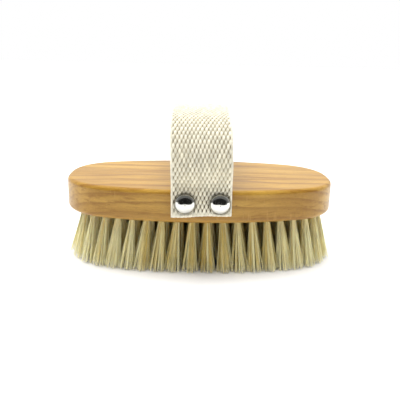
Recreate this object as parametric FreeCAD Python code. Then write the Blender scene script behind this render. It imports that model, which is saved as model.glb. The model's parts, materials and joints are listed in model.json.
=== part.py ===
import FreeCAD, Part
import math
import os

os.makedirs("parts", exist_ok=True)

# Body dry brush: an oval beech block filled with bristle tufts, and a webbing hand strap nailed over it.
# Millimetres. X runs along the block, Y from front to back, Z up. The bristle tips stand on Z = 0.

# ---- Driving dimensions ----

# Block
BLOCK_LENGTH = 136.0
BLOCK_WIDTH = 73.0
BLOCK_THICKNESS = 15.7
SIDE_RADIUS = 170.0           # the long sides of the plan outline
END_RADIUS = 70.0             # the two ends
CORNER_RADIUS = 27.0          # the four shoulders between them
TOP_ROUNDING = 2.0
BOTTOM_ROUNDING = 2.0

# Tufts
BRISTLE_LENGTH = 26.2         # from the block's underside to the tips
HOLE_RADIUS = 1.6
HOLE_DEPTH = 9.0
ROOT_RADIUS = 1.55
ROOT_DEPTH = 8.8
TIP_RADIUS = 3.2
TIP_FAN = 0.07                # a tip stands this share further from the field's middle than its hole
TUFT_FIELD_SHIFT = 1.2        # the field of tufts is drilled a little off the block's middle, towards +X
OUTER_RING_HALF_LENGTH = 60.7
OUTER_RING_HALF_WIDTH = 29.0
RING_STEP = 7.25              # from each ring to the one inside it
RING_SQUARENESS = 2.65        # exponent of the rings' superellipse
OUTER_RING_START = 1.7        # how far along the front of the outer ring its first tuft stands

# Anchors: flat wire across the fold of each tuft
ANCHOR_LENGTH = 3.8
ANCHOR_THICKNESS = 0.35
ANCHOR_HEIGHT = 1.6
ANCHOR_DEPTH = 7.4            # middle of the anchor below the hole's mouth
ANCHOR_SLACK = 0.02

# Strap
STRAP_WIDTH = 28.0
STRAP_THICKNESS = 1.8
HEM_LAYER = 1.6               # the layer folded under, squeezed by the nails
STRAP_BOTTOM = 30.0
HEM_TOP = 39.7                # the folded layer's cut end, behind the strap
STRAP_LEAVES_BLOCK = 42.7     # height where the strap turns outwards, just above the nail heads
OUTWARD_BEND_RADIUS = 12.0
OUTWARD_BEND_ANGLE = 27.0
SHOULDER_RADIUS = 18.5
SHOULDER_END_ANGLE = 80.0     # slope from the vertical where the shoulder meets the flat top arc
BODY_GAP = 0.3                # between strap stretches that turn about each other
SEAT_GAP = 0.05               # between the hem and the block

# Nails
NAIL_SPACING = 16.0
NAIL_HEIGHT = 36.9
HEAD_RADIUS = 4.75
HEAD_RISE = 2.8
RIM_ROUNDING = 1.6            # from the dome down to the head's upright rim
HEAD_SHEET = 0.5
SHANK_RADIUS = 0.9
SHANK_LENGTH = 14.0
POINT_LENGTH = 3.0
PILOT_CLEARANCE = 0.05

# ---- Dimensions that follow ----

HALF_LENGTH = BLOCK_LENGTH / 2
HALF_WIDTH = BLOCK_WIDTH / 2
BLOCK_TOP = BRISTLE_LENGTH + BLOCK_THICKNESS
STRAP_HALF_WIDTH = STRAP_WIDTH / 2
STRAP_HALF_THICKNESS = STRAP_THICKNESS / 2
HEM_CENTRE = HALF_WIDTH + HEM_LAYER + STRAP_HALF_THICKNESS    # distance of the strap's centreline from Y = 0
HEM_FACE = HEM_CENTRE + STRAP_HALF_THICKNESS                  # where the nail heads sit

RING_NAMES = ("outer", "second", "third", "inner")
RING_COUNTS = (42, 36, 29, 22)
CENTRE_ROW_COUNT = 9
CENTRE_ROW_PITCH = 7.2
RING_SAMPLES = 1440

CUT_MARGIN = 1.0              # how far a cutting shape runs past the surface it cuts
DRILL_MARGIN = 0.2            # how much deeper a pilot hole is than its nail
EDGE_TOLERANCE = 0.01


# ---- Helpers ----

def vector(x, y, z):
    return FreeCAD.Vector(x, y, z)


def export(shape, node):
    """Write one node, and say its solids and volume."""
    shape.exportStep("parts/" + node + ".step")
    print(f"{node}: {len(shape.Solids)} solid(s), {shape.Volume:.1f} mm3, valid {shape.isValid()}")


def circle_meeting(first, first_radius, second, second_radius):
    """The upper right point at the given distances from two centres in the plan."""
    apart = math.dist(first, second)
    along = (first_radius ** 2 - second_radius ** 2 + apart ** 2) / (2 * apart)
    across = math.sqrt(first_radius ** 2 - along ** 2)
    ux = (second[0] - first[0]) / apart
    uy = (second[1] - first[1]) / apart
    return (first[0] + along * ux + across * uy, first[1] + along * uy - across * ux)


def polar(centre, radius, angle):
    return vector(centre[0] + radius * math.cos(angle), centre[1] + radius * math.sin(angle), 0)


def arc_between(centre, radius, start, end):
    middle = polar(centre, radius, (start + end) / 2)
    return Part.Arc(polar(centre, radius, start), middle, polar(centre, radius, end)).toShape()


def oval_face(growth):
    """The block's plan outline as eight tangent arcs, grown outwards by growth, at Z = 0."""
    side = (0.0, HALF_WIDTH - SIDE_RADIUS)
    end = (HALF_LENGTH - END_RADIUS, 0.0)
    corner = circle_meeting(side, SIDE_RADIUS - CORNER_RADIUS, end, END_RADIUS - CORNER_RADIUS)
    end_turn = math.atan2(corner[1] - end[1], corner[0] - end[0])
    side_turn = math.atan2(corner[1] - side[1], corner[0] - side[0])
    edges = []
    for quarter in range(2):
        turn = math.pi * quarter
        sign = math.cos(turn)
        ends = (end[0] * sign, 0.0)
        sides = (0.0, side[1] * sign)
        near = (corner[0] * sign, corner[1] * sign)
        far = (-corner[0] * sign, corner[1] * sign)
        edges.append(arc_between(ends, END_RADIUS + growth, turn - end_turn, turn + end_turn))
        edges.append(arc_between(near, CORNER_RADIUS + growth, turn + end_turn, turn + side_turn))
        edges.append(arc_between(sides, SIDE_RADIUS + growth, turn + side_turn, turn + math.pi - side_turn))
        far_end = turn + math.pi - end_turn
        edges.append(arc_between(far, CORNER_RADIUS + growth, turn + math.pi - side_turn, far_end))
    return Part.Face(Part.Wire(Part.__sortEdges__(edges)))


def flipped(shape):
    """The same shape on the back of the brush."""
    other = shape.copy()
    other.rotate(vector(0, 0, 0), vector(0, 0, 1), 180)
    return other


# ---- Tuft places ----

def ring_place(half_length, half_width, angle):
    """A point of a superellipse ring round the middle of the tuft field."""
    power = 2 / RING_SQUARENESS
    cosine = math.cos(angle)
    sine = math.sin(angle)
    x = math.copysign(half_length * abs(cosine) ** power, cosine)
    y = math.copysign(half_width * abs(sine) ** power, sine)
    return x + TUFT_FIELD_SHIFT, y


def ring_places(half_length, half_width, count, start):
    """Evenly spaced places round a ring, the first one start along from the middle of its front."""
    angles = [2 * math.pi * i / RING_SAMPLES - math.pi / 2 for i in range(RING_SAMPLES + 1)]
    points = [ring_place(half_length, half_width, angle) for angle in angles]
    lengths = [0.0]
    for before, after in zip(points, points[1:]):
        lengths.append(lengths[-1] + math.dist(before, after))
    places = []
    sample = 0
    for i in range(count):
        wanted = start + lengths[-1] * i / count
        while lengths[sample + 1] < wanted:
            sample += 1
        share = (wanted - lengths[sample]) / (lengths[sample + 1] - lengths[sample])
        places.append(ring_place(half_length, half_width, angles[sample] + share * (angles[1] - angles[0])))
    return places


def tuft_places():
    """Every tuft as node suffix and hole centre."""
    places = []
    for ring, name in enumerate(RING_NAMES):
        start = OUTER_RING_START * (1 + ring % 2)
        inset = RING_STEP * ring
        half_length = OUTER_RING_HALF_LENGTH - inset
        half_width = OUTER_RING_HALF_WIDTH - inset
        for x, y in ring_places(half_length, half_width, RING_COUNTS[ring], start):
            quarter = ("front" if y < 0 else "back") + "_" + ("left" if x < TUFT_FIELD_SHIFT else "right")
            places.append((name + "_" + quarter, (x, y)))
    for i in range(CENTRE_ROW_COUNT):
        x = TUFT_FIELD_SHIFT + CENTRE_ROW_PITCH * (i - (CENTRE_ROW_COUNT - 1) / 2)
        places.append(("centre_row", (x, 0.0)))
    return places


def on_axis(hole, rise):
    """Where a fanned tuft's axis passes at a height above the block's underside, in the plan."""
    share = 1 - TIP_FAN * rise / BRISTLE_LENGTH
    return (TUFT_FIELD_SHIFT + (hole[0] - TUFT_FIELD_SHIFT) * share, hole[1] * share)


def placed_on_axis(shape, hole):
    """Turn a shape built on the Z axis, with the hole's mouth at Z = 0, on to a tuft's axis."""
    tip = on_axis(hole, -BRISTLE_LENGTH)
    turn = FreeCAD.Rotation(vector(0, 0, 1), vector(hole[0] - tip[0], hole[1] - tip[1], BRISTLE_LENGTH))
    moved = shape.copy()
    moved.Placement = FreeCAD.Placement(vector(hole[0], hole[1], BRISTLE_LENGTH), turn)
    return moved


def anchor_box(hole, slack):
    """A tuft's flat wire, or with slack the slot that it sits in."""
    middle = on_axis(hole, ANCHOR_DEPTH)
    length = ANCHOR_LENGTH + 2 * slack
    thickness = ANCHOR_THICKNESS + 2 * slack
    height = ANCHOR_HEIGHT + 2 * slack
    z = BRISTLE_LENGTH + ANCHOR_DEPTH - height / 2
    corner = vector(middle[0] - length / 2, middle[1] - thickness / 2, z)
    return Part.makeBox(length, thickness, height, corner)


def tuft_blank():
    """A straight tuft about the Z axis: root up in the hole, bristles spreading down past the tips' plane."""
    spread = (TIP_RADIUS - ROOT_RADIUS) / BRISTLE_LENGTH
    reach = BRISTLE_LENGTH + CUT_MARGIN
    corners = [
        (0, ROOT_DEPTH),
        (ROOT_RADIUS, ROOT_DEPTH),
        (ROOT_RADIUS, 0),
        (ROOT_RADIUS + spread * reach, -reach),
        (0, -reach),
        (0, ROOT_DEPTH),
    ]
    outline = Part.makePolygon([vector(radius, 0, z) for radius, z in corners])
    return Part.Face(outline).revolve(vector(0, 0, 0), vector(0, 0, 1), 360)


# ---- Nails ----

def upright_arc(centre, radius, start, end):
    """An arc in the XZ plane, its angles measured from X towards Z."""
    points = [vector(centre[0] + radius * math.cos(turn), 0, centre[1] + radius * math.sin(turn))
              for turn in (start, (start + end) / 2, end)]
    return Part.Arc(*points).toShape()


def nail_blank():
    """A stamped dome head on a pointed shank, about Z: the head's rim lies at Z = 0 and its dome is up."""
    rim_centre = (HEAD_RADIUS - RIM_ROUNDING, 0.0)
    crown_rise = HEAD_RISE - RIM_ROUNDING
    crown_radius = (rim_centre[0] ** 2 + HEAD_RISE ** 2 - RIM_ROUNDING ** 2) / (2 * crown_rise)
    crown_centre = (0.0, HEAD_RISE - crown_radius)
    meeting = math.atan2(-crown_centre[1], rim_centre[0])
    inner_crown = crown_radius - HEAD_SHEET
    shank_turn = math.acos(SHANK_RADIUS / inner_crown)
    shank_top = crown_centre[1] + inner_crown * math.sin(shank_turn)
    head = [
        upright_arc(crown_centre, crown_radius, math.pi / 2, meeting),
        upright_arc(rim_centre, RIM_ROUNDING, meeting, 0),
        Part.makeLine(vector(HEAD_RADIUS, 0, 0), vector(HEAD_RADIUS - HEAD_SHEET, 0, 0)),
        upright_arc(rim_centre, RIM_ROUNDING - HEAD_SHEET, 0, meeting),
        upright_arc(crown_centre, inner_crown, meeting, shank_turn),
    ]
    shank = Part.makePolygon([
        vector(SHANK_RADIUS, 0, shank_top),
        vector(SHANK_RADIUS, 0, POINT_LENGTH - SHANK_LENGTH),
        vector(0, 0, -SHANK_LENGTH),
        vector(0, 0, HEAD_RISE),
    ])
    face = Part.Face(Part.Wire(head + shank.Edges))
    return face.revolve(vector(0, 0, 0), vector(0, 0, 1), 360)


def on_front(shape, x):
    """Turn a shape built up the Z axis to stand out of the front hem at a nail's place."""
    moved = shape.copy()
    turn = FreeCAD.Rotation(vector(0, 0, 1), vector(0, -1, 0))
    moved.Placement = FreeCAD.Placement(vector(x, -HEM_FACE, NAIL_HEIGHT), turn)
    return moved


# ---- Strap ----

def side_point(centre, radius, slope):
    """A point of an arc in the YZ plane, where slope is the strap's angle from the vertical."""
    return (centre[0] - radius * math.cos(slope), centre[1] + radius * math.sin(slope))


OUT_ANGLE = math.radians(OUTWARD_BEND_ANGLE)
IN_ANGLE = math.radians(SHOULDER_END_ANGLE)
LOWER_PIVOT = (-HEM_CENTRE, STRAP_LEAVES_BLOCK)
BEND_CENTRE = (LOWER_PIVOT[0] - OUTWARD_BEND_RADIUS, LOWER_PIVOT[1])
BEND_END = (BEND_CENTRE[0] + OUTWARD_BEND_RADIUS * math.cos(OUT_ANGLE),
            BEND_CENTRE[1] + OUTWARD_BEND_RADIUS * math.sin(OUT_ANGLE))
SHOULDER_CENTRE = (BEND_END[0] + SHOULDER_RADIUS * math.cos(OUT_ANGLE),
                   BEND_END[1] + SHOULDER_RADIUS * math.sin(OUT_ANGLE))
# The upper pivot stands straight above the lower one, so the two sides and the top turn as a parallelogram.
PIVOT_SLOPE = math.acos((SHOULDER_CENTRE[0] - LOWER_PIVOT[0]) / SHOULDER_RADIUS)
UPPER_PIVOT = side_point(SHOULDER_CENTRE, SHOULDER_RADIUS, PIVOT_SLOPE)
SHOULDER_END = side_point(SHOULDER_CENTRE, SHOULDER_RADIUS, IN_ANGLE)
TOP_RADIUS = -SHOULDER_END[0] / math.cos(IN_ANGLE)
TOP_CENTRE = (0.0, SHOULDER_END[1] - TOP_RADIUS * math.sin(IN_ANGLE))


def bend(centre, radius, start, end, inwards):
    """A stretch of strap along an arc in the YZ plane. An inward bend has its centre on the hand's side."""
    half = STRAP_HALF_THICKNESS

    def at(reach, slope):
        place = side_point(centre, reach, slope) if inwards else (
            centre[0] + reach * math.cos(slope), centre[1] + reach * math.sin(slope))
        return vector(-STRAP_HALF_WIDTH, place[0], place[1])

    middle = (start + end) / 2
    near = [at(radius - half, slope) for slope in (start, middle, end)]
    far = [at(radius + half, slope) for slope in (end, middle, start)]
    edges = [
        Part.Arc(*near).toShape(),
        Part.makeLine(near[2], far[0]),
        Part.Arc(*far).toShape(),
        Part.makeLine(far[2], near[0]),
    ]
    return Part.Face(Part.Wire(edges)).extrude(vector(STRAP_WIDTH, 0, 0))


def pivot_rod(pivot, radius):
    """A cylinder across the strap about a pivot line."""
    start = vector(-STRAP_HALF_WIDTH, pivot[0], pivot[1])
    return Part.makeCylinder(radius, STRAP_WIDTH, start, vector(1, 0, 0))


def mirror_pivot(pivot):
    return (-pivot[0], pivot[1])


def strap_side():
    """The front side of the loop, with a round end on each pivot."""
    lower = bend(BEND_CENTRE, OUTWARD_BEND_RADIUS, 0, OUT_ANGLE, False)
    upper = bend(SHOULDER_CENTRE, SHOULDER_RADIUS, -OUT_ANGLE, PIVOT_SLOPE, True)
    rods = [pivot_rod(pivot, STRAP_HALF_THICKNESS) for pivot in (LOWER_PIVOT, UPPER_PIVOT)]
    return lower.fuse([upper] + rods).removeSplitter()


def strap_top():
    """The top of the loop between the upper pivots, hollowed round each to clear the sides' round ends."""
    shoulder = bend(SHOULDER_CENTRE, SHOULDER_RADIUS, PIVOT_SLOPE, IN_ANGLE, True)
    roof = bend(TOP_CENTRE, TOP_RADIUS, IN_ANGLE, math.pi - IN_ANGLE, True)
    clearance = STRAP_HALF_THICKNESS + BODY_GAP
    rods = [pivot_rod(pivot, clearance) for pivot in (UPPER_PIVOT, mirror_pivot(UPPER_PIVOT))]
    return shoulder.fuse([roof, flipped(shoulder)]).cut(Part.makeCompound(rods)).removeSplitter()


def strap_tab(pilots):
    """The nailed front end of the strap: outer layer and folded hem, shaped to the block's side."""
    depth = HEM_LAYER + STRAP_THICKNESS + CUT_MARGIN
    height = STRAP_LEAVES_BLOCK - STRAP_BOTTOM
    slab = Part.makeBox(STRAP_WIDTH, depth, height, vector(-STRAP_HALF_WIDTH, -HEM_FACE, STRAP_BOTTOM))
    hem_space = Part.makeBox(STRAP_WIDTH, depth, height, vector(-STRAP_HALF_WIDTH, -HEM_CENTRE, HEM_TOP))
    hem_space.translate(vector(0, STRAP_HALF_THICKNESS, 0))
    block_space = oval_face(SEAT_GAP).extrude(vector(0, 0, BLOCK_TOP))
    pivot_space = pivot_rod(LOWER_PIVOT, STRAP_HALF_THICKNESS + BODY_GAP)
    return slab.cut([hem_space, block_space, pivot_space] + pilots)


# ---- Build ----

places = tuft_places()

# Block, with its tuft holes, anchor slots and nail pilots
oval = oval_face(0.0)
oval.translate(vector(0, 0, BRISTLE_LENGTH))
block = oval.extrude(vector(0, 0, BLOCK_THICKNESS))
top_edges = [edge for edge in block.Edges if edge.BoundBox.ZMin > BLOCK_TOP - EDGE_TOLERANCE]
block = block.makeFillet(TOP_ROUNDING, top_edges)
bottom_edges = [edge for edge in block.Edges if edge.BoundBox.ZMax < BRISTLE_LENGTH + EDGE_TOLERANCE]
block = block.makeFillet(BOTTOM_ROUNDING, bottom_edges)

hole_blank = Part.makeCylinder(HOLE_RADIUS, HOLE_DEPTH + CUT_MARGIN, vector(0, 0, -CUT_MARGIN))
holes = []
for _, hole in places:
    socket = placed_on_axis(hole_blank, hole)
    holes.append(socket.fuse(anchor_box(hole, ANCHOR_SLACK)))

pilot_depth = SHANK_LENGTH + DRILL_MARGIN
pilot_blank = Part.makeCylinder(SHANK_RADIUS + PILOT_CLEARANCE, pilot_depth, vector(0, 0, -pilot_depth))
nail_sides = (("left", -NAIL_SPACING / 2), ("right", NAIL_SPACING / 2))
pilots = [on_front(pilot_blank, x) for _, x in nail_sides]
block = block.cut(Part.makeCompound(holes + pilots + [flipped(pilot) for pilot in pilots]))
export(block, "wood_block")

# Nails
nail = nail_blank()
for side, x in nail_sides:
    export(on_front(nail, x), "nail_front_" + side)
    export(flipped(on_front(nail, -x)), "nail_back_" + side)

# Strap
tab = strap_tab(pilots)
side_strip = strap_side()
export(tab, "strap_front_tab")
export(side_strip, "strap_front_side")
export(strap_top(), "strap_top")
export(flipped(side_strip), "strap_back_side")
export(flipped(tab), "strap_back_tab")

# Tufts and their anchors, one node of each for every quarter of every ring
blank = tuft_blank()
floor_corner = vector(-BLOCK_LENGTH, -BLOCK_WIDTH, -BRISTLE_LENGTH)
floor_cut = Part.makeBox(2 * BLOCK_LENGTH, 2 * BLOCK_WIDTH, BRISTLE_LENGTH, floor_corner)
tufts = {}
anchors = {}
for group, hole in places:
    tuft = placed_on_axis(blank, hole).cut([floor_cut, anchor_box(hole, ANCHOR_SLACK)])
    tufts.setdefault(group, []).append(tuft)
    anchors.setdefault(group, []).append(anchor_box(hole, 0.0))
for group in tufts:
    export(Part.makeCompound(tufts[group]), "tufts_" + group)
    export(Part.makeCompound(anchors[group]), "anchors_" + group)

tips = [on_axis(hole, -BRISTLE_LENGTH) for _, hole in places]
closest = min(math.dist(a, b) for i, a in enumerate(tips) for b in tips[:i])
print(f"{len(places)} tufts, closest tips {closest:.2f} mm apart, tip diameter {2 * TIP_RADIUS:.2f} mm")
print(f"pivots in YZ: {LOWER_PIVOT}, {UPPER_PIVOT}")
print(f"top radius {TOP_RADIUS:.1f}, apex {TOP_CENTRE[1] + TOP_RADIUS:.2f}")
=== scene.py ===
import json
import math

import bpy
import numpy as np
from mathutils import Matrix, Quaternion, Vector


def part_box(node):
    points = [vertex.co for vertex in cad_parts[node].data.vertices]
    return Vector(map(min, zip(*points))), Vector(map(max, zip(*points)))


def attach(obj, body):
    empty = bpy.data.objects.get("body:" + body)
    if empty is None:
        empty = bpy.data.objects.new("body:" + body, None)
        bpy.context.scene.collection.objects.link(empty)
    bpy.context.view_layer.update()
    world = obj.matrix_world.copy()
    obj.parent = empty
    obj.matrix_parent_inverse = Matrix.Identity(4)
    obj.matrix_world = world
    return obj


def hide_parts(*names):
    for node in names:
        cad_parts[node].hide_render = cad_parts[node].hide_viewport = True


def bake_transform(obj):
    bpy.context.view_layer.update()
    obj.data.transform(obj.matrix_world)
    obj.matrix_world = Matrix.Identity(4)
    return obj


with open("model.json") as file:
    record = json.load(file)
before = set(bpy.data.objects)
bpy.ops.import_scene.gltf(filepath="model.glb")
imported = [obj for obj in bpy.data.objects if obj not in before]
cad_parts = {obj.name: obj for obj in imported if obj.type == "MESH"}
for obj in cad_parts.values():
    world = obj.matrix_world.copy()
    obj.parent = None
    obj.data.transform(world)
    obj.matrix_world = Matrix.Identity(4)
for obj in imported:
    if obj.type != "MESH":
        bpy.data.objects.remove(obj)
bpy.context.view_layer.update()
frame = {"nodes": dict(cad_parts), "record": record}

# Body dry brush: a beech block, bristle tufts and a woven cotton strap held by dome-headed nails.
# Metres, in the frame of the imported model: X runs along the block, Y from front to back, and Z up from the
# bristle tips. A colour is its linear red, green and blue.

MM = 0.001
NODES = frame["nodes"]
RECORD = frame["record"]
PIVOTS = {joint["name"]: Vector(joint["pos_m"]) for joint in RECORD["behaviour"]["joints"]}


# ---- Camera, light and floor ----

VIEW_AZIMUTH = math.radians(-2.2)
VIEW_ELEVATION = math.radians(15.8)
VIEW_ROLL = math.radians(1.48)
VIEW_DISTANCE = 0.279
VIEW_TARGET = Vector((0.3 * MM, 0.0, 27.5 * MM))
LENS_MM = 47.0
NEAREST_SEEN = 0.01
FLOOR_SIZE = 8.0

ROOM_FRONT = 0.18              # light from the front of the room
ROOM_BACK = 0.92               # light from the rest of it
OVERHEAD_STRENGTH = 4.2
OVERHEAD_SPREAD = math.radians(60)
OVERHEAD_TILT = (math.radians(-3), math.radians(-6), 0.0)
ROOM_FADE = (-0.30, 0.20)      # between these, from front to back, the one turns into the other
WHITE = (1, 1, 1, 1)
FLOOR_COLOUR = (0.92, 0.92, 0.92)
CARD_COLOUR = (0.01, 0.01, 0.01)
STAGE_ROUGHNESS = 0.8
STAGE_SPECULAR = 0.1
CARD_POSTS = (                 # X, Y, foot and top of the dark card's upright lines
    (-0.160, -0.130, 0.010, 0.100),
    (-0.105, -0.190, 0.000, 0.185),
    (0.000, -0.215, 0.014, 0.235),
    (0.105, -0.190, 0.000, 0.185),
    (0.160, -0.130, 0.010, 0.100),
)


def make_camera():
    """Looks down a little at the front of the brush, slightly rolled."""
    data = bpy.data.cameras.new("camera")
    data.lens = LENS_MM
    data.clip_start = NEAREST_SEEN
    camera = bpy.data.objects.new("camera", data)
    bpy.context.collection.objects.link(camera)
    level = math.cos(VIEW_ELEVATION)
    across = math.sin(VIEW_AZIMUTH) * level
    towards = -math.cos(VIEW_AZIMUTH) * level
    back = Vector((across, towards, math.sin(VIEW_ELEVATION)))
    camera.location = VIEW_TARGET + back * VIEW_DISTANCE
    camera.rotation_mode = "QUATERNION"
    camera.rotation_quaternion = (-back).to_track_quat("-Z", "Y") @ Quaternion((0, 0, 1), VIEW_ROLL)
    bpy.context.scene.camera = camera


def make_room():
    """Soft white light, weaker from the front, and a plain white background."""
    world = bpy.data.worlds.new("room")
    bpy.context.scene.world = world
    world.use_nodes = True
    net = Net(world.node_tree)
    where = net.node("ShaderNodeTexCoord")
    axes = net.node("ShaderNodeSeparateXYZ")
    net.join(where.outputs["Generated"], axes.inputs["Vector"])
    light = net.ramp(axes.outputs["Y"], *ROOM_FADE, ROOM_FRONT, ROOM_BACK)
    rays = net.node("ShaderNodeLightPath")
    strength = net.math("MAXIMUM", rays.outputs["Is Camera Ray"], light)
    background = world.node_tree.nodes["Background"]
    background.inputs["Color"].default_value = WHITE
    net.join(strength, background.inputs["Strength"])


def make_overhead():
    """One broad soft light from above, kept out of reflections."""
    data = bpy.data.lights.new("overhead", "SUN")
    data.energy = OVERHEAD_STRENGTH
    data.angle = OVERHEAD_SPREAD
    lamp = bpy.data.objects.new("overhead", data)
    lamp.rotation_euler = OVERHEAD_TILT
    lamp.visible_glossy = False
    bpy.context.collection.objects.link(lamp)


def stage_mesh(name, corners, faces, colour):
    """A plain matt surface that isn't part of the brush."""
    mesh = bpy.data.meshes.new(name)
    mesh.from_pydata(corners, [], faces)
    made = bpy.data.objects.new(name, mesh)
    bpy.context.collection.objects.link(made)
    net = material_net(name)
    net.set("Base Color", colour)
    net.set("Roughness", STAGE_ROUGHNESS)
    net.set("Specular IOR Level", STAGE_SPECULAR)
    mesh.materials.append(net.material)
    return made


def make_floor():
    half = FLOOR_SIZE / 2
    corners = [(-half, -half, 0), (half, -half, 0), (half, half, 0), (-half, half, 0)]
    stage_mesh("floor", corners, [(0, 1, 2, 3)], FLOOR_COLOUR)


def make_card():
    """A bent dark card in front of the brush, out of sight, which only reflections show."""
    corners = [(x, y, foot) for x, y, foot, _ in CARD_POSTS]
    corners += [(x, y, top) for x, y, _, top in CARD_POSTS]
    count = len(CARD_POSTS)
    faces = [(i, i + 1, count + i + 1, count + i) for i in range(count - 1)]
    card = stage_mesh("card", corners, faces, CARD_COLOUR)
    card.visible_camera = False
    card.visible_diffuse = False
    card.visible_shadow = False


# ---- Node material helper ----

MIX_SHARE = 0                  # places of the mix node's sockets in colour mode: several share one name
MIX_COLOUR_A = 6
MIX_COLOUR_B = 7
MIX_COLOUR_OUT = 2


class Net:
    """Short names for making and joining shader nodes."""

    def __init__(self, tree):
        self.tree = tree
        self.material = None
        self.shader = None

    def node(self, kind, **settings):
        made = self.tree.nodes.new(kind)
        for name, value in settings.items():
            setattr(made, name, value)
        return made

    def join(self, source, target):
        self.tree.links.new(source, target)

    def math(self, operation, first, second=None, third=None):
        made = self.node("ShaderNodeMath", operation=operation)
        for place, value in enumerate((first, second, third)):
            if value is None:
                continue
            if isinstance(value, (int, float)):
                made.inputs[place].default_value = value
            else:
                self.join(value, made.inputs[place])
        return made.outputs["Value"]

    def ramp(self, value, low, high, to_low=0.0, to_high=1.0):
        """A smooth step of value between low and high."""
        made = self.node("ShaderNodeMapRange", interpolation_type="SMOOTHSTEP")
        self.join(value, made.inputs["Value"])
        settings = (("From Min", low), ("From Max", high), ("To Min", to_low), ("To Max", to_high))
        for name, number in settings:
            made.inputs[name].default_value = number
        return made.outputs["Result"]

    def axes(self):
        """The surface's own X, Y and Z, in metres."""
        where = self.node("ShaderNodeTexCoord")
        made = self.node("ShaderNodeSeparateXYZ")
        self.join(where.outputs["Object"], made.inputs["Vector"])
        return made.outputs

    def place(self, scale, offset=(0, 0, 0), turn=(0, 0, 0), source="Object"):
        """The surface's coordinates, turned, scaled and moved."""
        where = self.node("ShaderNodeTexCoord")
        mapping = self.node("ShaderNodeMapping")
        mapping.inputs["Scale"].default_value = scale
        mapping.inputs["Location"].default_value = offset
        mapping.inputs["Rotation"].default_value = turn
        self.join(where.outputs[source], mapping.inputs["Vector"])
        return mapping.outputs["Vector"]

    def noise(self, vector, detail, roughness=0.5, distortion=0.0):
        """Even noise over coordinates that place has already scaled."""
        made = self.node("ShaderNodeTexNoise")
        self.join(vector, made.inputs["Vector"])
        made.inputs["Scale"].default_value = 1.0
        made.inputs["Detail"].default_value = detail
        made.inputs["Roughness"].default_value = roughness
        made.inputs["Distortion"].default_value = distortion
        return made.outputs["Fac"]

    def attribute(self, name):
        """A number that paint gave to each vertex."""
        return self.node("ShaderNodeAttribute", attribute_name=name).outputs["Fac"]

    def blend(self, share, first, second):
        """A colour between two, by share."""
        made = self.node("ShaderNodeMix", data_type="RGBA")
        self.feed(made.inputs[MIX_SHARE], share)
        self.feed(made.inputs[MIX_COLOUR_A], first)
        self.feed(made.inputs[MIX_COLOUR_B], second)
        return made.outputs[MIX_COLOUR_OUT]

    def scale_colour(self, colour, amount):
        """A colour made lighter or darker by a factor."""
        made = self.node("ShaderNodeVectorMath", operation="SCALE")
        self.join(colour, made.inputs[0])
        self.feed(made.inputs["Scale"], amount)
        return made.outputs["Vector"]

    def feed(self, socket, value):
        """Join a socket, or set a colour or a number."""
        if isinstance(value, bpy.types.NodeSocket):
            self.join(value, socket)
        elif isinstance(value, tuple):
            socket.default_value = (*value, 1.0)[:4]
        else:
            socket.default_value = value

    def bump(self, height, strength, distance, normal=None):
        """A normal bent by a height, on top of another normal where one is given."""
        made = self.node("ShaderNodeBump")
        made.inputs["Strength"].default_value = strength
        made.inputs["Distance"].default_value = distance
        self.join(height, made.inputs["Height"])
        if normal is not None:
            self.join(normal, made.inputs["Normal"])
        return made.outputs["Normal"]

    def set(self, name, value):
        """Set or join one of the surface shader's sockets."""
        self.feed(self.shader.inputs[name], value)


def material_net(name):
    material = bpy.data.materials.new(name)
    material.use_nodes = True
    net = Net(material.node_tree)
    net.material = material
    net.shader = material.node_tree.nodes["Principled BSDF"]
    return net


# ---- Materials ----

HEM_TOP = 39.7 * MM                             # height of the folded layer's cut end
NAIL_SEAT = -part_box("strap_front_tab")[0][1]    # distance of the cloth's outer face from Y = 0

BEECH_PALE = (0.560, 0.328, 0.056)
BEECH_DEEP = (0.385, 0.200, 0.026)
BEECH_LATE = (0.25, 0.105, 0.010)      # the late wood, which darkens towards each growth line
BEECH_GRAIN = (0.26, 0.112, 0.012)
BEECH_RAY = (0.66, 0.40, 0.10)
BEECH_PORE = (0.13, 0.052, 0.008)
GROWTH_PERIOD = 4.3 * MM
GROWTH_RISE_Y = 0.36                   # the growth layers' slope: how fast they are crossed along Y and Z
GROWTH_RISE_Z = 0.93
GROWTH_WARP = 11 * MM
GROWTH_RIPPLE = 1.2 * MM
LATE_SHARE = 0.68
BROAD_TURN = math.radians(1.5)
GRAIN_TURN = math.radians(2)           # the fine grain runs this far off the block's length

COTTON_TOP = (0.85, 0.805, 0.65)
# Painted shade: the pit colours stand for the shade between the yarns, painted darker still on the hem by the
# nails
COTTON_PIT_SHADE = (0.36, 0.31, 0.20)
COTTON_PIT_SHADE_BY_NAILS = (0.14, 0.11, 0.06)
COTTON_STAIN = (0.76, 0.68, 0.47)
NAILS_REACH = 8 * MM                   # how far above the hem the nails still pull the cloth in, and how far the cloth's pits keep their extra painted shade
TWIST_SCALE = 420
TWIST_TURN = math.radians(35)
TWIST_DISTORTION = 1.5

NICKEL_CLEAR = (0.73, 0.73, 0.68)
NICKEL_HAZY = (0.65, 0.65, 0.60)
# Painted shade: a dark ring on each head's rim next to the cloth, for the contact shadow there
NICKEL_RIM_SHADE = (0.085, 0.080, 0.065)
RIM_SHADE_FULL = 0.6 * MM                # where the painted rim shade is full, off the cloth's face
RIM_SHADE_GONE = 1.35 * MM
RIM_SHADE_SHARE = 0.85
RIM_SHADE_ROUGHNESS = 0.30

WIRE_DARK = (0.55, 0.54, 0.52)
WIRE_BRIGHT = (0.70, 0.69, 0.67)

HAIR_DARK = (0.73, 0.54, 0.15)
HAIR_PALE = (1.0, 0.93, 0.54)
HAIR_ROOT = (0.66, 0.44, 0.12)
HAIR_TIP = (1.0, 0.955, 0.65)
HAIR_GLOW = (1.0, 0.90, 0.60)
HAIR_SCATTER_REACH = (1.0, 0.9, 0.6)   # of red, green and blue
HAIR_SCATTER = 0.4 * MM


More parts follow.
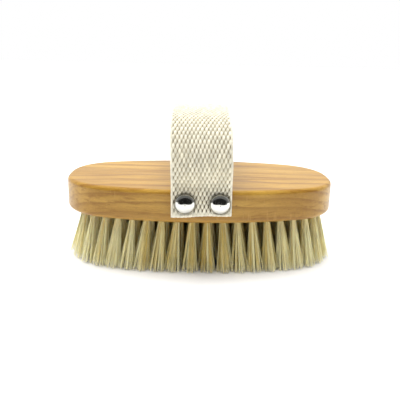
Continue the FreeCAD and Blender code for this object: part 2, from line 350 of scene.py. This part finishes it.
def beech():
    """Oiled beech: growth lines along the block, fine fibre, short dark pores and a satin surface."""
    net = material_net("beech")
    axes = net.axes()
    warp = net.noise(net.place((9, 26, 30)), detail=3, roughness=0.45)
    ripple = net.noise(net.place((60, 160, 160), offset=(2, 1, 8)), detail=2)
    level = net.math("MULTIPLY", axes["Z"], GROWTH_RISE_Z)
    level = net.math("MULTIPLY_ADD", axes["Y"], GROWTH_RISE_Y, level)
    level = net.math("MULTIPLY_ADD", warp, GROWTH_WARP, level)
    level = net.math("MULTIPLY_ADD", ripple, GROWTH_RIPPLE, level)
    phase = net.math("FRACT", net.math("DIVIDE", level, GROWTH_PERIOD))
    late = net.math("MULTIPLY", net.ramp(phase, 0.45, 0.90), net.ramp(phase, 0.92, 1.0, 1.0, 0.0))
    strength = net.noise(net.place((8, 120, 120), offset=(9, 3, 4)), detail=2)
    late = net.math("MULTIPLY", late, net.ramp(strength, 0.30, 0.62, 0.25, 1.0))
    broad_place = net.place((9, 62, 95), turn=(0, 0, BROAD_TURN))
    broad = net.noise(broad_place, detail=4, roughness=0.55, distortion=0.4)
    grain_place = net.place((22, 420, 620), turn=(0, 0, GRAIN_TURN))
    grain = net.noise(grain_place, detail=5, roughness=0.6, distortion=0.2)
    fibre = net.noise(net.place((160, 2600, 3400)), detail=3, roughness=0.65)
    pore_noise = net.noise(net.place((420, 3400, 3400), offset=(3, 7, 1)), detail=1, roughness=0.4)
    ray_noise = net.noise(net.place((700, 1500, 130), offset=(1, 2, 3)), detail=1, roughness=0.4)
    tone = net.blend(net.ramp(broad, 0.33, 0.68), BEECH_DEEP, BEECH_PALE)
    tone = net.blend(net.math("MULTIPLY", late, LATE_SHARE), tone, BEECH_LATE)
    tone = net.blend(net.ramp(grain, 0.50, 0.68, 0.0, 0.60), tone, BEECH_GRAIN)
    tone = net.blend(net.ramp(ray_noise, 0.66, 0.74, 0.0, 0.18), tone, BEECH_RAY)
    pore = net.ramp(pore_noise, 0.69, 0.76, 0.0, 0.65)
    tone = net.blend(pore, tone, BEECH_PORE)
    tone = net.scale_colour(tone, net.ramp(fibre, 0.25, 0.75, 0.88, 1.10))
    net.set("Base Color", tone)
    net.set("Roughness", net.ramp(grain, 0.3, 0.7, 0.38, 0.52))
    net.set("Specular IOR Level", 0.15)
    net.set("Coat Weight", 0.55)
    net.set("Coat Roughness", 0.28)
    rough = net.bump(fibre, 0.25, 0.05 * MM)
    net.set("Normal", net.bump(net.math("SUBTRACT", grain, pore), 0.20, 0.12 * MM, rough))
    return net.material


def cotton():
    """Undyed cotton webbing: soft yarns, with painted shade between them, most of all around the nails."""
    net = material_net("cotton_webbing")
    relief = net.attribute("relief")
    yarn = net.attribute("yarn")
    slub = net.noise(net.place((700, 900, 700)), detail=3)
    lint = net.noise(net.place((5200, 5200, 5200)), detail=3, roughness=0.7)
    stain = net.noise(net.place((70, 70, 70), offset=(4, 4, 1)), detail=2)
    # Painted shade: the pits between the yarns are painted dark, darkest below the hem's cut end where the
    # nails are, fading out over NAILS_REACH above it
    past_nail_shade = net.ramp(net.axes()["Z"], HEM_TOP, HEM_TOP + NAILS_REACH)
    pit_shade = net.blend(past_nail_shade, COTTON_PIT_SHADE_BY_NAILS, COTTON_PIT_SHADE)
    tone = net.blend(net.ramp(relief, 0.0, 0.62), pit_shade, COTTON_TOP)
    tone = net.blend(net.ramp(stain, 0.45, 0.75, 0.0, 0.30), tone, COTTON_STAIN)
    tone = net.scale_colour(tone, net.ramp(yarn, 0.0, 1.0, 0.90, 1.08))
    tone = net.scale_colour(tone, net.ramp(slub, 0.3, 0.75, 0.92, 1.06))
    net.set("Base Color", tone)
    net.set("Roughness", 0.92)
    net.set("Specular IOR Level", 0.25)
    net.set("Sheen Weight", 0.35)
    net.set("Sheen Roughness", 0.5)
    twist = net.node("ShaderNodeTexWave", wave_type="BANDS", bands_direction="X", wave_profile="SIN")
    twist.inputs["Scale"].default_value = 1.0
    twist.inputs["Distortion"].default_value = TWIST_DISTORTION
    twist.inputs["Detail"].default_value = 1.0
    twist_place = net.place((TWIST_SCALE,) * 3, turn=(0, 0, TWIST_TURN), source="UV")
    net.join(twist_place, twist.inputs["Vector"])
    soft = net.bump(lint, 0.35, 0.08 * MM)
    net.set("Normal", net.bump(twist.outputs["Fac"], 0.35, 0.08 * MM, soft))
    return net.material


def nickel():
    """Bright nickel plate with faint rubbing marks, with painted shade on the rim where the heads meet the
    cloth.
    """
    net = material_net("nickel_plate")
    rub = net.noise(net.place((900, 900, 260)), detail=4, roughness=0.6)
    haze = net.noise(net.place((160, 160, 160)), detail=2)
    out = net.math("ABSOLUTE", net.axes()["Y"])
    # Painted shade: the rim next to the cloth is painted dark, and made rougher
    rim_shade = net.ramp(out, NAIL_SEAT + RIM_SHADE_FULL, NAIL_SEAT + RIM_SHADE_GONE, RIM_SHADE_SHARE, 0.0)
    plate = net.blend(net.ramp(haze, 0.3, 0.8), NICKEL_CLEAR, NICKEL_HAZY)
    net.set("Base Color", net.blend(rim_shade, plate, NICKEL_RIM_SHADE))
    net.set("Metallic", 1.0)
    rubbed = net.ramp(rub, 0.35, 0.75, 0.07, 0.18)
    net.set("Roughness", net.math("MULTIPLY_ADD", rim_shade, RIM_SHADE_ROUGHNESS, rubbed))
    net.set("Normal", net.bump(rub, 0.05, 0.03 * MM))
    return net.material


def wire():
    """Bare drawn wire, streaked along its length."""
    net = material_net("anchor_wire")
    streak = net.noise(net.place((300, 3000, 3000)), detail=3)
    net.set("Base Color", net.blend(streak, WIRE_DARK, WIRE_BRIGHT))
    net.set("Metallic", 1.0)
    net.set("Roughness", net.ramp(streak, 0.3, 0.7, 0.25, 0.45))
    return net.material


def bristle():
    """Pale natural bristle, each hair its own shade, yellower at the root and bleached at the tip."""
    net = material_net("bristle")
    tone = net.attribute("tone")
    along = net.attribute("along")
    shade = net.blend(tone, HAIR_DARK, HAIR_PALE)
    shade = net.blend(net.ramp(along, 0.0, 0.45, 0.35, 0.0), shade, HAIR_ROOT)
    shade = net.blend(net.ramp(along, 0.80, 1.0, 0.0, 0.50), shade, HAIR_TIP)
    streak = net.noise(net.place((900, 900, 120)), detail=2)
    shade = net.scale_colour(shade, net.ramp(streak, 0.3, 0.7, 0.88, 1.10))
    net.set("Base Color", shade)
    net.set("Subsurface Weight", 0.35)
    net.shader.inputs["Subsurface Radius"].default_value = HAIR_SCATTER_REACH
    net.set("Subsurface Scale", HAIR_SCATTER)
    net.set("Roughness", 0.42)
    net.set("Specular IOR Level", 0.45)
    net.set("Sheen Weight", 0.5)
    net.set("Sheen Roughness", 0.4)
    net.set("Sheen Tint", HAIR_GLOW)
    return net.material


# ---- Meshes from arrays ----

def new_piece(name, verts, faces, material, smooth=True):
    """One visible piece, smooth or flat shaded, with its one material."""
    mesh = bpy.data.meshes.new(name)
    mesh.from_pydata(verts.tolist(), [], faces)
    mesh.polygons.foreach_set("use_smooth", [smooth] * len(mesh.polygons))
    mesh.materials.append(material)
    piece = bpy.data.objects.new(name, mesh)
    bpy.context.collection.objects.link(piece)
    return piece


def paint(piece, name, values):
    """One number per vertex, for the material to read."""
    attribute = piece.data.attributes.new(name, "FLOAT", "POINT")
    attribute.data.foreach_set("value", np.asarray(values, np.float32))


# ---- Bristles ----

HAIRS_PER_TUFT = 105
HAIR_SIDES = 4
HAIR_RINGS = np.array((0.0, 0.30, 0.60, 0.85, 1.0))     # where along a hair its rings of vertices lie
HAIR_ROOT_RADIUS = 0.135 * MM
HAIR_TIP_RADIUS = 0.085 * MM
HAIR_START_INSIDE = 1.6 * MM   # above the hole's mouth
MOUTH_SPREAD = 0.90 * MM
TIP_SPREAD = 4.3 * MM
CLUMPS = 19                    # wisps in a tuft
CLUMP_PULL = 0.62              # how far a hair's tip is drawn to the middle of its wisp
CLUMP_JITTER = 0.06            # of the tuft's radius
TIP_JITTER = 0.22 * MM
BOW = 0.28 * MM
TIP_CLEARANCE = 0.02 * MM      # of the longest tips from the floor
SLANT_SHARE = 0.6              # of the height that a slanting hair loses, how much lifts its tip
TIP_UNEVEN = 0.20 * MM
CLUMP_UNEVEN = 0.35 * MM
SHORT_SHARE = 0.06
SHORT_LEAST = 0.5 * MM
SHORT_MOST = 2.2 * MM
TONE_LOW = 0.35
TONE_HIGH = 0.95
TONE_OF_CLUMPS = 0.40
TONE_OF_TUFTS = 0.05
OUTWARD_LEAN = 2.5 * MM        # of the hairs half way to the field's ends, past the tufts' own fan
FIELD_HALF_LENGTH = 60 * MM
ENDS_PAINTED_LIGHT = 0.5               # the tufts towards the block's ends are painted paler, as painted light where fewer tufts shade them
ENDS_LIGHT_FROM = 25 * MM
ENDS_LIGHT_OVER = 30 * MM
GOLDEN_TURN = math.pi * (3 - math.sqrt(5))
MOUTH_REACH = 3.5 * MM         # no two vertices of one tuft's mouth are further apart than this
MOUTH_BAND = 0.4 * MM          # vertices this near the hole's mouth in height belong to its ring
TIP_BAND = 0.05 * MM
BRISTLE_SEED = 100


def box_middle(points):
    return (points.min(axis=0) + points.max(axis=0)) / 2


def tufts_of(node, mouth_height):
    """Pairs of hole centre and tip centre, in the plan, for each tuft of a CAD node."""
    points = np.array([tuple(vertex.co) for vertex in NODES[node].data.vertices])
    ring = points[np.abs(points[:, 2] - mouth_height) < MOUTH_BAND][:, :2]
    mouths = []
    while len(ring):
        near = np.hypot(*(ring - ring[0]).T) < MOUTH_REACH
        mouths.append(box_middle(ring[near]))
        ring = ring[~near]
    tips = points[points[:, 2] < TIP_BAND][:, :2]
    apart = np.array([np.hypot(*(tips - mouth).T) for mouth in mouths])
    nearest = np.argmin(apart, axis=0)
    return [(mouth, box_middle(tips[nearest == number])) for number, mouth in enumerate(mouths)]


def hair_tubes(roots, middles, ends):
    """Tapered tubes along quadratic curves, and where along its hair each vertex lies."""
    t = HAIR_RINGS[None, :, None]
    line = roots[:, None] * (1 - t) ** 2 + middles[:, None] * 2 * t * (1 - t) + ends[:, None] * t ** 2
    radius = HAIR_ROOT_RADIUS + (HAIR_TIP_RADIUS - HAIR_ROOT_RADIUS) * HAIR_RINGS
    turns = 2 * math.pi * np.arange(HAIR_SIDES) / HAIR_SIDES
    round_it = np.stack((np.cos(turns), np.sin(turns), np.zeros(HAIR_SIDES)), axis=1)
    verts = line[:, :, None] + radius[None, :, None, None] * round_it[None, None]
    along = np.broadcast_to(HAIR_RINGS[None, :, None], verts.shape[:3])
    return verts, along


def hair_faces(count):
    """Corners of every tube's sides and two ends."""
    rings = len(HAIR_RINGS)
    one = []
    for ring in range(rings - 1):
        for side in range(HAIR_SIDES):
            after = (side + 1) % HAIR_SIDES
            low, high = ring * HAIR_SIDES, (ring + 1) * HAIR_SIDES
            one.append((low + side, high + side, high + after, low + after))
    one.append(tuple(range(HAIR_SIDES)))
    one.append(tuple(range(rings * HAIR_SIDES - 1, (rings - 1) * HAIR_SIDES - 1, -1)))
    step = rings * HAIR_SIDES
    return [tuple(corner + step * hair for corner in face) for hair in range(count) for face in one]


def spiral(count, random):
    """Even places in a unit disc, turned at random."""
    order = np.arange(count)
    turn = order * GOLDEN_TURN + random.uniform(0, 2 * math.pi)
    return np.sqrt((order + 0.5) / count)[:, None] * np.stack((np.cos(turn), np.sin(turn)), axis=1)


def tuft_hairs(mouth, tip, underside, random):
    """Roots, middles and ends of one tuft's hairs, and each hair's shade."""
    count = HAIRS_PER_TUFT
    disc = spiral(count, random)
    clumps = spiral(CLUMPS, random) + random.normal(0, CLUMP_JITTER, (CLUMPS, 2))
    own = np.argmin(np.linalg.norm(disc[:, None] - clumps[None], axis=2), axis=1)
    fan = (disc + (clumps[own] - disc) * CLUMP_PULL) * TIP_SPREAD
    inside = mouth - (tip - mouth) * HAIR_START_INSIDE / underside
    roots = np.column_stack((inside + disc * MOUTH_SPREAD, np.full(count, underside + HAIR_START_INSIDE)))
    places = tip + fan + random.normal(0, TIP_JITTER, (count, 2))
    places[:, 0] += OUTWARD_LEAN * math.sin(math.pi * mouth[0] / FIELD_HALF_LENGTH)
    slant = np.linalg.norm(places - mouth, axis=1) ** 2 / (2 * underside)
    heights = TIP_CLEARANCE + SLANT_SHARE * slant + np.abs(random.normal(0, TIP_UNEVEN, count))
    heights += random.uniform(0, CLUMP_UNEVEN, CLUMPS)[own]
    heights += (random.uniform(size=count) < SHORT_SHARE) * random.uniform(SHORT_LEAST, SHORT_MOST, count)
    ends = np.column_stack((places, heights))
    middles = (roots + ends) / 2
    middles[:, :2] += random.normal(0, BOW, (count, 2))
    tone = random.uniform(TONE_LOW, TONE_HIGH, count)
    tone = tone + random.normal(0, TONE_OF_CLUMPS, CLUMPS)[own] + random.normal(0, TONE_OF_TUFTS)
    # Painted light: the tufts towards the block's ends get paler tones
    tone = tone + ENDS_PAINTED_LIGHT * np.clip((abs(mouth[0]) - ENDS_LIGHT_FROM) / ENDS_LIGHT_OVER, 0, 1)
    return roots, middles, ends, np.clip(tone, 0, 1)


def make_bristles(node, material, seed):
    """One piece with the hairs of every tuft in a CAD node."""
    random = np.random.default_rng(seed)
    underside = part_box("wood_block")[0][2]
    all_verts, all_along, all_tone = [], [], []
    for mouth, tip in tufts_of(node, underside):
        roots, middles, ends, tone = tuft_hairs(mouth, tip, underside, random)
        verts, along = hair_tubes(roots, middles, ends)
        all_verts.append(verts.reshape(-1, 3))
        all_along.append(along.reshape(-1))
        all_tone.append(np.repeat(tone, len(HAIR_RINGS) * HAIR_SIDES))
    faces = hair_faces(HAIRS_PER_TUFT * len(all_verts))
    name = node.replace("tufts", "bristles")
    piece = new_piece(name, np.concatenate(all_verts), faces, material, smooth=False)
    paint(piece, "along", np.concatenate(all_along))
    paint(piece, "tone", np.concatenate(all_tone))
    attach(piece, "block")
    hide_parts(node)


# ---- Strap ----

STRAP_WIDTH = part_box("strap_top")[1][0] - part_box("strap_top")[0][0]
STRAP_HALF_THICKNESS = 0.9 * MM
HEM_HALF_THICKNESS = 0.8 * MM
BEND_RADIUS = 12.0 * MM
BEND_ANGLE = math.radians(27)
SHOULDER_RADIUS = 18.5 * MM
SHOULDER_END_ANGLE = math.radians(80)
WARP_ENDS = 30
SAMPLES_PER_END = 5
PICK = 2.05 * MM               # spacing of the weft
SAMPLES_PER_PICK = 8
BUMP_HALF_LENGTH = 0.76        # of a pick
BUMP_HALF_WIDTH = 0.72         # of a warp end
BUMP_SLANT = 0.06              # of a warp end for each pick
BUMP_LEAST = 0.80              # height of the lowest yarn's bumps; the highest are 1
PICK_GROOVE = 0.35             # how much the bumps fall away between one pick and the next
FACE_FLOOR = 0.22              # height between the bumps
FACE_LEAST = 0.10              # at the very edge
WANDER_SLOW = 0.07             # how far the warp strays, in warp ends, over these lengths
WANDER_SLOW_ALONG = 6.1 * MM
WANDER_SLOW_ACROSS = 4 * MM
WANDER_FAST = 0.05
WANDER_FAST_ALONG = 2.3 * MM
WEAVE_SEED = 11
SHARE_ROWS = 97                # picks before the yarns' uneven heights repeat
SELVEDGE = 1.1 * MM            # width of the rounded edge
SELVEDGE_BUMP = 0.8            # height that the selvedge's bumps even out to, and by how much
SELVEDGE_EVEN = 0.7
DIMPLE_DEPTH = 0.6 * MM        # where the nail heads press the cloth in
DIMPLE_WIDTH = 1.0 * MM        # how far past a head's rim the pressing ends
DIMPLE_FLOOR = 0.2 * MM        # and how far past it is at its deepest
DIMPLE_LIMIT = -0.05 * MM      # the pressed face stops this far past the strap's middle
SHIFT_ENDS = 0.40 * MM         # the strap lies this far off centre at its ends, and further on the way up
SHIFT_MORE = 0.90 * MM
SHIFT_PLACE = 0.32             # of the strap's length
SHIFT_SPAN = 0.16
FOLD_REACH = 2.2 * MM          # the height over which the bottom fold is smoothed and waved
FOLD_SMOOTH = 0.7
FOLD_HEIGHT = 0.75             # of half the thickness
FOLD_RELIEF = 0.9              # the relief there, which the material reads as yarn tops with little painted shade
FOLD_RELIEF_SHARE = 0.8
FOLD_WAVE = 0.25 * MM
FOLD_WAVE_ALONG = 3.4 * MM
FOLD_WAVE_START = 1.0
FOLD_SLOPE = 0.045             # rise towards +X
ROUND_END_TIP = 0.15           # thickness left at the tip of a rounded end, of the whole
PATH_STEP = 0.02 * MM


class Route:
    """The strap's middle line in the YZ plane as runs of even curvature, measured along its length."""

    def __init__(self, start, heading, runs):
        length = sum(run for run, _ in runs)
        count = int(round(length / PATH_STEP)) + 1
        self.s = np.linspace(0, length, count)
        marks = np.cumsum([0.0] + [run for run, _ in runs])
        turns = np.cumsum([heading] + [turn for _, turn in runs])
        self.heading = np.interp(self.s, marks, turns)
        middle = (self.heading[1:] + self.heading[:-1]) / 2
        step = np.diff(self.s)
        self.y = start[0] + np.concatenate(([0.0], np.cumsum(np.sin(middle) * step)))
        self.z = start[1] + np.concatenate(([0.0], np.cumsum(np.cos(middle) * step)))
        self.marks = marks

    def at(self, s):
        """Y, Z and heading at distances along the strap, run on straight past either end."""
        inside = np.clip(s, 0, self.s[-1])
        past = s - inside
        heading = np.interp(inside, self.s, self.heading)
        y = np.interp(inside, self.s, self.y) + past * np.sin(heading)
        z = np.interp(inside, self.s, self.z) + past * np.cos(heading)
        return y, z, heading


def strap_route():
    """From the hem's cut end down behind the front, round the fold and over, to the hem's end at the back."""
    lower = PIVOTS["strap_lean"]
    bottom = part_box("strap_front_tab")[0][2]
    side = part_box("wood_block")[0][1]
    hem_y = side - HEM_HALF_THICKNESS
    fold = (hem_y - lower.y) / 2
    fold_z = bottom + fold + STRAP_HALF_THICKNESS
    bend_end = lower.y - BEND_RADIUS * (1 - math.cos(BEND_ANGLE))
    shoulder_y = bend_end + SHOULDER_RADIUS * math.cos(BEND_ANGLE)
    shoulder_end = shoulder_y - SHOULDER_RADIUS * math.cos(SHOULDER_END_ANGLE)
    roof_angle = math.pi / 2 - SHOULDER_END_ANGLE
    roof_radius = -shoulder_end / math.sin(roof_angle)
    shoulder_turn = BEND_ANGLE + SHOULDER_END_ANGLE
    half = [
        (HEM_TOP - fold_z, 0.0),
        (math.pi * fold, math.pi),
        (lower.z - fold_z, 0.0),
        (BEND_RADIUS * BEND_ANGLE, -BEND_ANGLE),
        (SHOULDER_RADIUS * shoulder_turn, shoulder_turn),
        (roof_radius * roof_angle, roof_angle),
    ]
    return Route((hem_y, HEM_TOP), math.pi, half + half[::-1])


def weave(u, s, face, shares):
    """One face of the cloth: its height above the middle, its relief from 0 to 1, and its yarn's share."""
    wander = WANDER_SLOW * np.sin(s / WANDER_SLOW_ALONG + u / WANDER_SLOW_ACROSS)
    wander = wander + WANDER_FAST * np.sin(s / WANDER_FAST_ALONG)
    across = (u / STRAP_WIDTH + 0.5) * WARP_ENDS + wander
    picks = s / PICK
    own_column = np.floor(across).astype(int)
    own_row = np.round(picks).astype(int)
    bump = np.zeros(across.shape)
    yarn = np.full(across.shape, 0.5)
    for column_step in (-1, 0, 1):
        for row_step in (-1, 0, 1):
            column = np.clip(own_column + column_step, 0, WARP_ENDS - 1)
            row = own_row + row_step + 0 * column
            share = shares[column, row % len(shares[0])]
            along = (picks - row) / BUMP_HALF_LENGTH
            aside = (across - column - 0.5 - BUMP_SLANT * (picks - row)) / BUMP_HALF_WIDTH
            rise = np.sqrt(np.clip(1 - along ** 2 - aside ** 2, 0, 1))
            rise = rise * (BUMP_LEAST + (1 - BUMP_LEAST) * share)
            higher = ((column + row + face) % 2 == 0) & (rise > bump)
            bump = np.where(higher, rise, bump)
            yarn = np.where(higher, share, yarn)
    bump = bump * (1 - PICK_GROOVE * np.sin(math.pi * picks) ** 4)
    edge = np.clip((np.abs(u) - (STRAP_WIDTH / 2 - SELVEDGE)) / SELVEDGE, 0, 1)
    bump = bump + (SELVEDGE_BUMP - bump) * np.clip(2 * edge, 0, 1) * SELVEDGE_EVEN
    raised = FACE_FLOOR + (1 - FACE_FLOOR) * bump
    height = np.maximum(raised * np.sqrt(1 - edge ** 2), FACE_LEAST)
    return height * STRAP_HALF_THICKNESS, bump, yarn


def nail_sink(x, z):
    """How far the nail heads press the cloth's outer face in, at places on the hem."""
    sink = 0 * x
    for side in ("left", "right"):
        low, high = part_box("nail_front_" + side)
        radius = (high[0] - low[0]) / 2
        away = np.hypot(x - (low[0] + high[0]) / 2, z - (low[2] + high[2]) / 2) - radius
        share = np.clip((DIMPLE_WIDTH - away) / (DIMPLE_WIDTH - DIMPLE_FLOOR), 0, 1)
        sink = np.maximum(sink, DIMPLE_DEPTH * share * share * (3 - 2 * share))
    return sink


def both_faces(outer, inner):
    """Rows that run across the outer face and back across the inner one."""
    return np.concatenate((outer, inner[:, ::-1]), axis=1)


def shell_faces(rows, columns):
    """Corners of a closed band: its two faces and edges all along, and a cap at each end."""
    loop = 2 * columns
    faces = []
    for row in range(rows - 1):
        base = row * loop
        faces += [(base + i, base + (i + 1) % loop, base + loop + (i + 1) % loop, base + loop + i)
                  for i in range(loop)]
    for row, flip in ((0, True), (rows - 1, False)):
        base = row * loop
        for i in range(columns - 1):
            face = (base + i, base + i + 1, base + loop - 2 - i, base + loop - 1 - i)
            faces.append(face[::-1] if flip else face)
    return faces


def strap_stretch(name, route, start, end, material, shares, round_start=False, round_end=False):
    """One closed stretch of the strap, from start to end along it."""
    first = start - (STRAP_HALF_THICKNESS if round_start else 0)
    last = end + (STRAP_HALF_THICKNESS if round_end else 0)
    rows = int(round((last - first) / PICK * SAMPLES_PER_PICK)) + 1
    columns = WARP_ENDS * SAMPLES_PER_END + 1
    s = np.linspace(first, last, rows)[:, None]
    u = np.linspace(-STRAP_WIDTH / 2, STRAP_WIDTH / 2, columns)[None, :]
    beyond = np.clip(np.maximum(start - s, s - end) / STRAP_HALF_THICKNESS, 0, 1)
    taper = np.maximum(np.sqrt(1 - beyond ** 2), ROUND_END_TIP)
    y, z, heading = route.at(s)
    share = s / route.s[-1]
    sway = SHIFT_ENDS + SHIFT_MORE * np.exp(-((share - SHIFT_PLACE) / SHIFT_SPAN) ** 2)
    fold_wave = FOLD_WAVE * np.sin(u / FOLD_WAVE_ALONG + FOLD_WAVE_START) + FOLD_SLOPE * u
    low = np.exp(-((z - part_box("strap_front_tab")[0][2]) / FOLD_REACH) ** 2)
    outer_leg = (np.minimum(s, route.s[-1] - s) > route.marks[2]) & (z < HEM_TOP + NAILS_REACH)
    sides = []
    for face, sign in ((0, 1), (1, -1)):
        height, relief, yarn = weave(u, s, face, shares)
        height = height + (FOLD_HEIGHT * STRAP_HALF_THICKNESS - height) * FOLD_SMOOTH * low
        relief = relief + (FOLD_RELIEF - relief) * FOLD_RELIEF_SHARE * low
        if face == 0:
            sunk = height - outer_leg * nail_sink(u - sway, z)
            height = np.maximum(sunk, np.minimum(height, DIMPLE_LIMIT))
        offset = sign * height * taper
        px = u - sway + 0 * s
        py = y - np.cos(heading) * offset
        pz = z + np.sin(heading) * offset + fold_wave * low
        sides.append((np.stack((px, py, pz), axis=2), relief, yarn))
    verts, relief, yarn = (both_faces(outer, inner) for outer, inner in zip(*sides))
    piece = new_piece(name, verts.reshape(-1, 3), shell_faces(rows, columns), material)
    paint(piece, "relief", relief.reshape(-1))
    paint(piece, "yarn", yarn.reshape(-1))
    lay_out(piece, u, s, columns)
    sharpen_ends(piece, 2 * columns, rows)
    return piece


def lay_out(piece, u, s, columns):
    """UVs in metres: across the strap and along it."""
    across = np.concatenate((u[0], u[0, ::-1]))
    layer = piece.data.uv_layers.new(name="cloth")
    corners = np.empty(len(piece.data.loops), int)
    piece.data.loops.foreach_get("vertex_index", corners)
    flat = np.stack((across[corners % (2 * columns)], s[corners // (2 * columns), 0]), axis=1)
    layer.data.foreach_set("uv", flat.reshape(-1).astype(np.float32))


def sharpen_ends(piece, loop, rows):
    """Keeps the end caps from bending the shading where two stretches meet."""
    ends = np.empty(2 * len(piece.data.edges), int)
    piece.data.edges.foreach_get("vertices", ends)
    ring = ends.reshape(-1, 2) // loop
    sharp = (ring[:, 0] == ring[:, 1]) & ((ring[:, 0] == 0) | (ring[:, 0] == rows - 1))
    attribute = piece.data.attributes.new("sharp_edge", "BOOLEAN", "EDGE")
    attribute.data.foreach_set("value", sharp)


def bend_at(piece, route, pivot_s):
    """Bakes a stretch's placement into its mesh; its middle line's place and heading at the pivot are worked
    out but not used.
    """
    y, z, heading = (float(value) for value in route.at(np.array(pivot_s)))
    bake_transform(piece)


def make_strap(material):
    """The whole strap as four stretches, so that each crosses one joint at most."""
    route = strap_route()
    random = np.random.default_rng(WEAVE_SEED)
    shares = random.uniform(size=(WARP_ENDS, SHARE_ROWS))
    length = route.s[-1]
    lower = route.marks[3]
    upper_z = PIVOTS["strap_front_bend"].z
    climbing = (route.s > lower) & (route.s < length / 2)
    upper = float(np.interp(upper_z, route.z[climbing], route.s[climbing]))
    middle = (lower + upper) / 2
    apex = length / 2

    front = strap_stretch("strap_front_webbing", route, 0.0, middle, material, shares)
    bend_at(front, route, lower)
    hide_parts("strap_front_tab", "strap_front_side")
    over = strap_stretch("strap_over_webbing", route, middle, apex, material, shares)
    bend_at(over, route, upper)
    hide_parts("strap_top")
    down = strap_stretch("strap_down_webbing", route, apex, length - lower, material, shares,
                         round_end=True)
    bend_at(down, route, length - upper)
    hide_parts("strap_back_side")
    back = strap_stretch("strap_back_webbing", route, length - lower, length, material, shares,
                         round_start=True)
    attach(back, "block")
    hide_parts("strap_back_tab")


# ---- Put together ----

def dress(material, nodes):
    """Give CAD nodes a material."""
    for node in nodes:
        mesh = NODES[node].data
        mesh.materials.clear()
        mesh.materials.append(material)


bpy.context.scene.view_settings.view_transform = "Standard"
make_camera()
make_room()
make_overhead()
make_floor()
make_card()

dress(beech(), ["wood_block"])
dress(nickel(), [node for node in NODES if node.startswith("nail")])
dress(wire(), [node for node in NODES if node.startswith("anchors")])
bristle_material = bristle()
for number, tuft_node in enumerate(sorted(node for node in NODES if node.startswith("tufts"))):
    make_bristles(tuft_node, bristle_material, BRISTLE_SEED + number)
make_strap(cotton())
